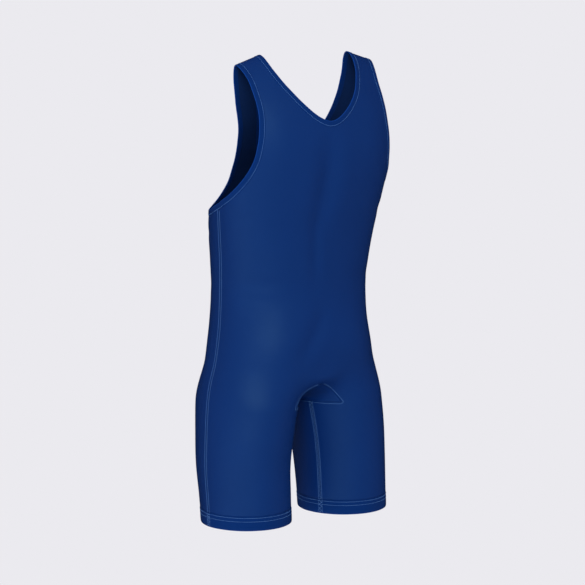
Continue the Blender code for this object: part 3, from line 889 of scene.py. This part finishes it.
def make_gusset():
    """Rays from the hub through hub + far (chord - hub), as far as the cloth."""
    edge = cloth(*gusset_places())
    crotch = crotch_curve(len(edge))
    share = np.linspace(0, 1, GUSSET_COLUMNS + 1)[:, None]
    chords = crotch[:, None] * (1 - share) + edge[:, None] * share
    axis_x, axis_y, _, _ = section(LEG, np.sqrt(-edge[:, 2]))
    hub_y = axis_y + GUSSET_HUB["along"] * (edge[:, 1] - axis_y)
    hub_z = np.full(len(edge), -GUSSET_HUB["drop"])
    hub = np.stack([GUSSET_HUB["across"] * axis_x, hub_y, hub_z], axis=-1)[:, None]
    ray = chords - hub
    far = first_crossing(
        lambda far: outside_point(hub + far[..., None] * ray), ray.shape[:2], GUSSET_RAY_REACH
    )
    points = hub + far[..., None] * ray
    points[:, 0] = crotch
    points[:, -1] = edge
    normals = field_normal(points)
    normals[:, 0, 0] = 0
    normals = unit(normals)
    across = run_length(points.transpose(1, 0, 2)).T
    uv = np.stack([across, run_length(points)], axis=-1)
    return sewn_piece("gusset", dipped(points, normals, across[:, -1:] - across), normals, uv)


gusset = make_gusset()

# %% [markdown]
# ## Bands and hems
#
# The neck, the armholes and the legs are finished by folded bands of the same knit. A band is a profile
# carried along a path: the profile is a flat fold, round at the free edge, with a groove where the stitches
# pull it down, and it wraps the raw edge of the panel. It is given as shares of the band's width and as
# heights above the cloth.

# %% Profiles of a band and of a hem
BAND_PROFILE = (
    # share of the width from the free edge, height above the cloth in mm
    (1.11, -0.45),
    (1.11, 0.10),
    (1.07, 0.42),
    (0.99, 0.50),
    (0.90, 0.34),
    (0.81, 0.52),
    (0.60, 0.68),
    (0.35, 0.74),
    (0.14, 0.62),
    (0.03, 0.22),
    (0.00, -0.35),
    (0.05, -0.95),
    (0.20, -1.30),
    (0.60, -1.35),
    (0.95, -1.25),
    (1.09, -1.10),
)
HEM_PROFILE = (
    (1.03, -0.45),
    (1.03, 0.15),
    (1.00, 0.45),
    (0.965, 0.50),
    (0.93, 0.34),
    (0.89, 0.52),
    (0.80, 0.62),
    (0.71, 0.55),
    (0.67, 0.36),
    (0.63, 0.56),
    (0.50, 0.72),
    (0.25, 0.76),
    (0.07, 0.66),
    (0.01, 0.24),
    (0.00, -0.35),
    (0.02, -0.95),
    (0.08, -1.30),
    (0.50, -1.40),
    (0.97, -1.30),
    (1.03, -1.10),
)
print("points round a band and round a hem:", len(BAND_PROFILE), len(HEM_PROFILE))

# %% [markdown]
# Every profile point goes all the way round the path at once, as one array. A band is never quite even, so
# a slow ripple runs along it. One round of subdivision makes the fold soft.

# %% A band round a loop
MM = 0.001
FOLD_MIDDLE = -0.0004
RIPPLES = (
    # wavelength, height, phase
    (0.037, 0.00010, 1.3),
    (0.061, 0.00014, 4.1),
)


def make_band(name, node, edge, seam, normals, profile):
    """A profile carried round a closed loop: edge + share (seam - edge) + normal height."""
    share = np.array(profile)[:, 0][:, None]
    height = np.array(profile)[:, 1][:, None] * MM
    along = run_length(closed(edge))
    whole = along[-1]
    for wavelength, size, phase in RIPPLES:
        # a whole number of waves, so the ripple meets itself
        waves = round(whole / wavelength)
        height = height + size * np.sin(2 * pi * waves * along[:-1, None, None] / whole + phase)
    across = (seam - edge)[:, None]
    points = edge[:, None] + share * across + normals[:, None] * height
    rows, columns, _ = points.shape
    width = np.linalg.norm(seam - edge, axis=1).mean()
    uv = np.stack(np.broadcast_arrays(share[None, :, 0] * width, along[:-1, None]), axis=-1)
    faces = grid_faces(rows, columns, closed_rows=True, closed_columns=True)
    away = normals[:, None] * np.sign(height - FOLD_MIDDLE)
    flat = points.reshape(-1, 3)
    faces = looking_out(flat, np.broadcast_to(away, points.shape).reshape(-1, 3), faces)
    band = make_mesh(name, flat, faces, uv.reshape(-1, 2))
    smoother = band.modifiers.new("rounder", "SUBSURF")
    smoother.levels = 1
    smoother.render_levels = 1
    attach(band, "root")
    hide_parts(node)
    return band


for wavelength, height, _ in RIPPLES:
    print(f"a ripple of {height / MM:.2f} mm every {wavelength / MM:.0f} mm")

# %% [markdown]
# An armhole and a hem are whole loops already. The neck's loop runs over both straps, so it is the left
# half and its mirror image. The left bands give the right ones, mirrored too.

# %% Bands
def lines_on_cloth(edge, seam):
    """Edge and seam points with the creases in them, and the normals between the two."""
    normals = unit(outward(*edge) + outward(*seam))
    return creased(cloth(*edge), normals), creased(cloth(*seam), normals), normals


def whole_neck():
    """The neck's lines, from the left half and its mirror image, as one loop."""
    edge, seam, normals = lines_on_cloth(NECK_EDGE, NECK_SEAM)
    normals[[0, -1], 0] = 0
    return [np.concatenate([line, (line * MIRROR)[-2:0:-1]]) for line in (edge, seam, unit(normals))]


def hem_places(share):
    """Places round the left leg at this share of the hem's height, from the free edge upwards."""
    front = PLACES["front"][0][-1]
    back = PLACES["back"][0][-1]
    angle = np.concatenate([front, back[-2:0:-1]])
    return angle, np.full(len(angle), sqrt(HEM_DROP - share * LEG_BAND_WIDTH))


neck = whole_neck()
armhole = lines_on_cloth(ARMHOLE_EDGE, ARMHOLE_SEAM)
hem = lines_on_cloth(hem_places(0), hem_places(1))
neck_band = make_band("neck_band_cloth", "neck_band", *neck, BAND_PROFILE)
armhole_bands = []
leg_bands = []
for hand, mirror in (("left", 1), ("right", MIRROR)):
    here = [line * mirror for line in armhole]
    armhole_bands.append(make_band(f"armhole_band_cloth_{hand}", f"armhole_band_{hand}", *here, BAND_PROFILE))
    here = [line * mirror for line in hem]
    leg_bands.append(make_band(f"leg_band_cloth_{hand}", f"leg_band_{hand}", *here, HEM_PROFILE))
print("bands:", [band.name for band in (neck_band, *armhole_bands, *leg_bands)])

# %% [markdown]
# ## Sewing
#
# A stitch is a short bent thread between two spots of the cloth, and its ends dive below the surface. A
# texture of dashes would be lighter, but it would lie flat and catch no light. All the threads of a seam
# are one mesh, built from three arrays: where they start, where they end, and which way the cloth faces.

# %% Threads
THREAD_RADIUS = 0.00038
THREAD_SIDES = 6
THREAD_RINGS = (
    # share of the way, share of the radius, height of its centre in radii
    (0.00, 0.45, -1.00),
    (0.16, 0.85, 0.10),
    (0.50, 1.00, 0.55),
    (0.84, 0.85, 0.10),
    (1.00, 0.45, -1.00),
)
THREAD_PIECES = []


def thread_grid(starts, ends, normals):
    """The rings of points round each thread: centre + r (cos a sideways + sin a up)."""
    way, thick, lift = (np.array(THREAD_RINGS)[:, i][:, None] for i in range(3))
    along = (ends - starts)[:, None]
    up = normals[:, None]
    sideways = unit(np.cross(up, along))
    centre = starts[:, None] + way * along + lift * THREAD_RADIUS * up
    turn = 2 * pi * np.arange(THREAD_SIDES)[:, None] / THREAD_SIDES
    spokes = np.cos(turn) * sideways[:, :, None] + np.sin(turn) * up[:, :, None]
    return centre[:, :, None] + THREAD_RADIUS * thick[..., None] * spokes


def make_threads(name, runs):
    """One mesh of all the threads in these runs, each given as starts, ends and normals."""
    starts, ends, normals = (np.concatenate(parts) for parts in zip(*runs))
    grid = thread_grid(starts, ends, normals)
    count, rings, sides, _ = grid.shape
    one = grid_faces(rings, sides, closed_columns=True)
    faces = (one + np.arange(count)[:, None, None] * rings * sides).reshape(-1, 4)
    piece = make_mesh(name, grid.reshape(-1, 3), faces, np.zeros((count * rings * sides, 2)))
    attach(piece, "root")
    THREAD_PIECES.append(piece)
    print(name, count, "threads")


print("a thread has", len(THREAD_RINGS), "rings of", THREAD_SIDES, "points")

# %% [markdown]
# A run is one row of threads as those three arrays. It is read off a line of points and normals: in single
# file, or to and fro between two lines.

# %% Rows of stitches
STITCH_PITCH = 0.0030
STITCH_LENGTH = 0.0025
ZIGZAG_PITCH = 0.0040


def read_line(line, at):
    """Points and unit normals at these distances along a line, which is an array of each."""
    along = run_length(line[0])
    points, normals = (np.stack([np.interp(at, along, part[:, i]) for i in range(3)], -1) for part in line)
    return points, unit(normals)


def straight_row(line):
    """Starts, ends and normals of stitches in single file."""
    whole = run_length(line[0])[-1]
    count = round(whole / STITCH_PITCH)
    at = np.arange(count) * whole / count
    starts, normals = read_line(line, at)
    return starts, read_line(line, at + STITCH_LENGTH)[0], normals


def zigzag(lines):
    """Starts, ends and normals of threads that go from one line to the other and back."""
    lengths = [run_length(line[0])[-1] for line in lines]
    count = round(lengths[0] / ZIGZAG_PITCH)
    share = np.arange(count + 1) / count
    spots = [read_line(line, share * length) for line, length in zip(lines, lengths)]
    even = (np.arange(count + 1) % 2 == 0)[:, None]
    points, normals = (np.where(even, one, other) for one, other in zip(*spots))
    return points[:-1], points[1:], unit(normals[:-1] + normals[1:])


def mirrored(runs):
    """The same runs on the other side of the garment."""
    return [tuple(part * MIRROR for part in run) for run in runs]


print("stitches of", 1000 * STITCH_LENGTH, "mm, one every", 1000 * STITCH_PITCH, "mm")

# %% [markdown]
# One row of stitches holds down each narrow band and the gusset, and two rows hold each hem. The side seams
# are stitched down on both sides of the join. The inseams are flatlocked, as where sportswear would rub: the
# edges lie flat side by side, and a thread zigzags between the two rows.

# %% Lines to sew along
TWIN_HALF_WIDTH = 0.0030
FLATLOCK_HALF_WIDTH = 0.0036


def raised(line, height):
    """A line moved this far along its normals. A line is its points and its normals."""
    points, normals = line
    return points + normals * height, normals


def between(edge, seam, normals, share, height):
    """The loop at this share of the way from a band's free edge to its seam, lifted onto the band."""
    loops = edge + share * (seam - edge), normals
    return raised([closed(part) for part in loops], height)


def beside(angle, level, half_width, height=0.0):
    """The two lines at this distance to either side of a path of places, lifted off the cloth."""
    points = cloth(angle, level)
    tangent = unit(np.gradient(points, axis=0))
    lines = []
    for offset in (-half_width, half_width):
        place = move_across(angle, level, tangent, offset)
        normals = outward(*place)
        lines.append(raised((creased(cloth(*place), normals), normals), height))
    return lines


def twin_rows(angle, level, height=0.0):
    """The runs of a seam that is stitched down on both sides of the join."""
    return [straight_row(line) for line in beside(angle, level, TWIN_HALF_WIDTH, height)]


def flatlock(angle, level, height=0.0):
    """The runs of a flatlock seam: two rows, and a thread that zigzags between them."""
    lines = beside(angle, level, FLATLOCK_HALF_WIDTH, height)
    return [*(straight_row(line) for line in lines), zigzag(lines)]


print("a flatlock seam is", 2000 * FLATLOCK_HALF_WIDTH, "mm wide")

# %% [markdown]
# The side seams and the inseams run straight down from the armhole and from the gusset. Where they cross a
# hem, the cloth is thicker and the machine goes over once more, so a short ladder of thread shows there.

# %% The seams
# share of the way from the free edge to the seam, height above the cloth
BAND_STITCH = (0.90, 0.00034)
HEM_STITCHES = ((0.93, 0.00034), (0.67, 0.00036))
HEM_THICKNESS = 0.0007
SEAM_GAP = 0.001
SEAM_STEPS = 160
HEM_STEPS = 12


def upright_seam(angle, top_drop, rows):
    """A seam at one angle from this drop to the hem, and then flatlocked on over the hem."""
    hem_top = HEM_DROP - LEG_BAND_WIDTH
    runs = rows(np.full(SEAM_STEPS, angle), np.sqrt(np.linspace(top_drop, hem_top, SEAM_STEPS)))
    over_hem = np.sqrt(np.linspace(hem_top + SEAM_GAP, HEM_DROP - 2 * SEAM_GAP, HEM_STEPS))
    return runs + flatlock(np.full(HEM_STEPS, angle), over_hem, HEM_THICKNESS)


neck_runs = [straight_row(between(*neck, *BAND_STITCH))]
armhole_runs = [straight_row(between(*armhole, *BAND_STITCH))]
hem_runs = [straight_row(between(*hem, *stitch)) for stitch in HEM_STITCHES]
side_runs = upright_seam(0.0, armhole_side("back")[1][-1] ** 2 + SEAM_GAP, twin_rows)
inseam_runs = upright_seam(INSEAM, GUSSET_EDGE_DROP + SEAM_GAP, flatlock)
gusset_runs = [straight_row(beside(*gusset_places(), TWIN_HALF_WIDTH)[0])]
make_threads("neck_thread", neck_runs)
make_threads("gusset_thread", gusset_runs + mirrored(gusset_runs))
left_runs = {"armhole": armhole_runs, "hem": hem_runs, "side": side_runs, "inseam": inseam_runs}
for name, runs in left_runs.items():
    make_threads(f"{name}_thread_left", runs)
    make_threads(f"{name}_thread_right", mirrored(runs))

# %% [markdown]
# ## Materials
#
# Everything is one dark blue stretch knit with a satin sheen. A material is a small network of nodes, and
# building it takes the same few moves again and again, so these come first, each as a short function.

# %% Short ways to build a material
def blank_material(name, roughness, gloss):
    """A material with only a Principled shader, and what it takes to add to it."""
    material = bpy.data.materials.new(name)
    material.use_nodes = True
    shader = material.node_tree.nodes["Principled BSDF"]
    shader.inputs["Roughness"].default_value = roughness
    shader.inputs["Specular IOR Level"].default_value = gloss
    return material, material.node_tree.nodes, material.node_tree.links, shader


def feed(links, socket, value):
    """Links another node's output to a socket, or gives the socket a fixed value."""
    if isinstance(value, bpy.types.NodeSocket):
        links.new(value, socket)
    else:
        socket.default_value = value


def math_node(nodes, links, operation, *values):
    """The output of one sum. Each value is a number or another node's output."""
    node = nodes.new("ShaderNodeMath")
    node.operation = operation
    for socket, value in zip(node.inputs, values):
        feed(links, socket, value)
    return node.outputs[0]


def mix_node(nodes, links, share, first, second):
    """The output of a colour mix: (1 - share) first + share second."""
    node = nodes.new("ShaderNodeMix")
    node.data_type = "RGBA"
    for name, value in (("Factor", share), ("A", first), ("B", second)):
        feed(links, node.inputs[name], value)
    return node.outputs["Result"]


def brightened(colour, factor):
    """A colour times a factor, with the alpha of 1 that a colour socket wants."""
    return (*(factor * part for part in colour), 1)


print("a grey at half brightness:", brightened((0.2, 0.2, 0.2), 0.5))

# %% [markdown]
# The knit's loops are far too small to see one by one, but they make the sheen uneven, so a fine pattern of
# ribs and loops goes into the bump, on the UV map in metres. A slow noise on Object coordinates keeps the
# colour from being quite even. An image of cloth would do as well, but it would show its repeats.

# %% Knit
WALE_WIDTH = 0.0009
COURSE_HEIGHT = 0.0007
COURSE_SHARE = 0.5
LOOP_HEIGHT = 0.0001
LOOP_STRENGTH = 0.25
CLOUDS_PER_METRE = 9
CLOUD_DETAIL = 3
CLOUD_CONTRAST = 0.07
# a pale strip at a band's free edge: partly worn loops, partly a painted highlight of the fold's rounded rim
RIM_SHEEN_AND_WEAR_WIDTH = 0.0015
FULL_RIM_SHEEN_AND_WEAR_WIDTH = 0.0005
GLOSS_TINT = (0.36, 0.78, 1.0, 1.0)


def knit_material(name, colour, roughness, gloss, rim_sheen_and_wear=0.0):
    """Stretch knit: ribs and loops in the bump, and a slow, faint change of shade.

    Where rim_sheen_and_wear is above 0, the cloth is paler by that much within RIM_SHEEN_AND_WEAR_WIDTH of
    the map's zero line, which is a band's free edge. There the fold opens the loops and rubbing takes off
    some dye, and the pale strip is also a painted highlight: the light that the fold's rounded rim catches.
    """
    material, nodes, links, shader = blank_material(name, roughness, gloss)
    shader.inputs["Specular Tint"].default_value = GLOSS_TINT
    cloth_map = nodes.new("ShaderNodeUVMap")
    cloth_map.uv_map = "cloth"
    split = nodes.new("ShaderNodeSeparateXYZ")
    links.new(cloth_map.outputs[0], split.inputs[0])
    waves = []
    for output, size in (("X", WALE_WIDTH), ("Y", COURSE_HEIGHT)):
        turn = math_node(nodes, links, "MULTIPLY", split.outputs[output], 2 * pi / size)
        waves.append(math_node(nodes, links, "SINE", turn))
    bump = nodes.new("ShaderNodeBump")
    bump.inputs["Strength"].default_value = LOOP_STRENGTH
    bump.inputs["Distance"].default_value = LOOP_HEIGHT
    loops = math_node(nodes, links, "MULTIPLY_ADD", waves[1], COURSE_SHARE, waves[0])
    links.new(loops, bump.inputs["Height"])
    links.new(bump.outputs[0], shader.inputs["Normal"])
    cloud = nodes.new("ShaderNodeTexNoise")
    cloud.inputs["Scale"].default_value = CLOUDS_PER_METRE
    cloud.inputs["Detail"].default_value = CLOUD_DETAIL
    links.new(nodes.new("ShaderNodeTexCoord").outputs["Object"], cloud.inputs["Vector"])
    ends = [brightened(colour, 1 + change) for change in (-CLOUD_CONTRAST, CLOUD_CONTRAST)]
    shade = mix_node(nodes, links, cloud.outputs["Fac"], *ends)
    # painted highlight of the band's rounded rim, together with its paler worn loops
    if rim_sheen_and_wear:
        near = nodes.new("ShaderNodeMapRange")
        near.inputs["From Min"].default_value = RIM_SHEEN_AND_WEAR_WIDTH
        near.inputs["From Max"].default_value = FULL_RIM_SHEEN_AND_WEAR_WIDTH
        links.new(split.outputs["X"], near.inputs["Value"])
        shade = mix_node(nodes, links, near.outputs["Result"], shade, brightened(colour, 1 + rim_sheen_and_wear))
    links.new(shade, shader.inputs["Base Color"])
    return material


print(f"{0.01 / WALE_WIDTH:.0f} ribs and {0.01 / COURSE_HEIGHT:.0f} rows of loops to the centimetre")

# %% [markdown]
# The inside of a panel is the same cloth's duller back, and its darker colour is painted shade, the shade
# that falls inside the hollow shell. The bands have less sheen than the panels, and their free edges are
# paler, partly from wear and partly as a painted highlight of the rounded rim. The thread is a lighter
# blue, so the sewing shows as fine lines.

# %% Colours
BODY_COLOUR = (0.0012, 0.0245, 0.1610)
# darker than the body: painted shade of the hollow inside
PAINTED_SHADE_INNER_COLOUR = (0.0055, 0.0210, 0.0880)
BAND_COLOUR = (0.0020, 0.0235, 0.1400)
THREAD_COLOUR = (0.0850, 0.2150, 0.5200)

body_knit = knit_material("body_knit", BODY_COLOUR, roughness=0.46, gloss=0.38)
# the inner faces take this darker colour as painted shade; their roughness and low gloss are the back's dull
# surface
inner_knit_painted_shade = knit_material("inner_knit_painted_shade", PAINTED_SHADE_INNER_COLOUR, roughness=0.80, gloss=0.05)
# the bands' free edges are painted paler: partly wear, partly a painted highlight of the rounded rim
band_knit = knit_material("band_knit", BAND_COLOUR, roughness=0.55, gloss=0.08, rim_sheen_and_wear=1.0)
thread, _, _, thread_shader = blank_material("thread", roughness=0.5, gloss=0.2)
thread_shader.inputs["Base Color"].default_value = (*THREAD_COLOUR, 1)
for piece in (back_panel, front_panel, gusset):
    piece.data.materials.append(body_knit)
    piece.data.materials.append(inner_knit_painted_shade)
for piece in (neck_band, *armhole_bands, *leg_bands):
    piece.data.materials.append(band_knit)
for piece in THREAD_PIECES:
    piece.data.materials.append(thread)
print("materials:", [material.name for material in (body_knit, inner_knit_painted_shade, band_knit, thread)])

# %% [markdown]
# ## The cut
#
# Stretch knit is cut smaller than the wearer: every piece here has about 8 per cent less area flat than it
# has when worn. A panel fills only a part of the rectangle that it is cut from. A band is the strip that
# shows, and its length comes from the loop that it follows.

# %% [markdown]
# ## Ground and light
#
# A pale floor far below the hems fills the whole view, so the garment floats as it does on a product page.
# A lit floor would grow darker with distance and take a shadow, so this one gives off its own colour.

# %% Floor
FLOOR_DROP = 1.35
FLOOR_HALF_SIZE = 60.0
FLOOR_COLOUR = (0.831, 0.823, 0.863, 1)


def make_floor():
    """A large square that shines in its own colour, takes no shadow and lights nothing."""
    corners = FLOOR_HALF_SIZE * np.array([(-1, -1, 0), (1, -1, 0), (1, 1, 0), (-1, 1, 0)])
    corners = corners - (0, 0, FLOOR_DROP)
    floor = make_mesh("floor", corners, np.arange(4)[None], corners[:, :2])
    material, _, _, shader = blank_material("floor", roughness=1, gloss=0)
    shader.inputs["Base Color"].default_value = (0, 0, 0, 1)
    shader.inputs["Emission Color"].default_value = FLOOR_COLOUR
    shader.inputs["Emission Strength"].default_value = 1
    floor.data.materials.append(material)
    floor.visible_diffuse = False
    floor.visible_glossy = False


make_floor()
print("the floor lies", round(FLOOR_DROP - HEM_DROP, 2), "m below the hems")

# %% [markdown]
# One soft light stands high on the camera's side and rolls a broad highlight over the back and the seat.
# Three more lift the front, the left side and the crotch. They and the surroundings leave no glint, so the
# edges that turn away stay dark.

# %% Lights and view
WORLD_COLOUR = (0.95, 0.98, 1.00, 1)
WORLD_STRENGTH = 0.70
LIT_SPOT = Vector((0, -0.04, -0.42))
LIGHTS = (
    # name, direction seen from the garment, distance, diameter, power, whether it leaves a glint
    ("key", (0.58, 0.80, 0.55), 3.5, 1.6, 42, True),
    ("front", (-0.50, -0.80, 0.35), 4.0, 2.5, 25, False),
    ("low", (0.95, 0.15, -0.45), 4.0, 2.5, 42, False),
    ("fill", (0.55, 0.80, -0.50), 4.0, 2.0, 16, False),
)


def make_light(name, towards, distance, diameter, power, glints):
    """A round area light, turned to face the garment."""
    light = bpy.data.objects.new(name, bpy.data.lights.new(name, "AREA"))
    light.data.shape = "DISK"
    light.data.size = diameter
    light.data.energy = power
    direction = Vector(towards).normalized()
    light.location = LIT_SPOT + direction * distance
    light.rotation_euler = (-direction).to_track_quat("-Z", "Y").to_euler()
    light.visible_glossy = glints
    bpy.context.scene.collection.objects.link(light)


def make_world():
    """Even light from all round. The view goes on in the floor's colour where the floor ends."""
    world = bpy.data.worlds.new("world")
    world.use_nodes = True
    world.cycles_visibility.glossy = False
    nodes = world.node_tree.nodes
    links = world.node_tree.links
    around = nodes["Background"]
    around.inputs["Color"].default_value = WORLD_COLOUR
    around.inputs["Strength"].default_value = WORLD_STRENGTH
    beyond = nodes.new("ShaderNodeBackground")
    beyond.inputs["Color"].default_value = FLOOR_COLOUR
    either = nodes.new("ShaderNodeMixShader")
    sources = nodes.new("ShaderNodeLightPath").outputs["Is Camera Ray"], around.outputs[0], beyond.outputs[0]
    for source, socket in zip(sources, either.inputs):
        links.new(source, socket)
    links.new(either.outputs[0], nodes["World Output"].inputs["Surface"])
    bpy.context.scene.world = world


make_world()
for row in LIGHTS:
    make_light(*row)
bpy.context.scene.view_settings.view_transform = "Standard"
print("lights:", [row[0] for row in LIGHTS])
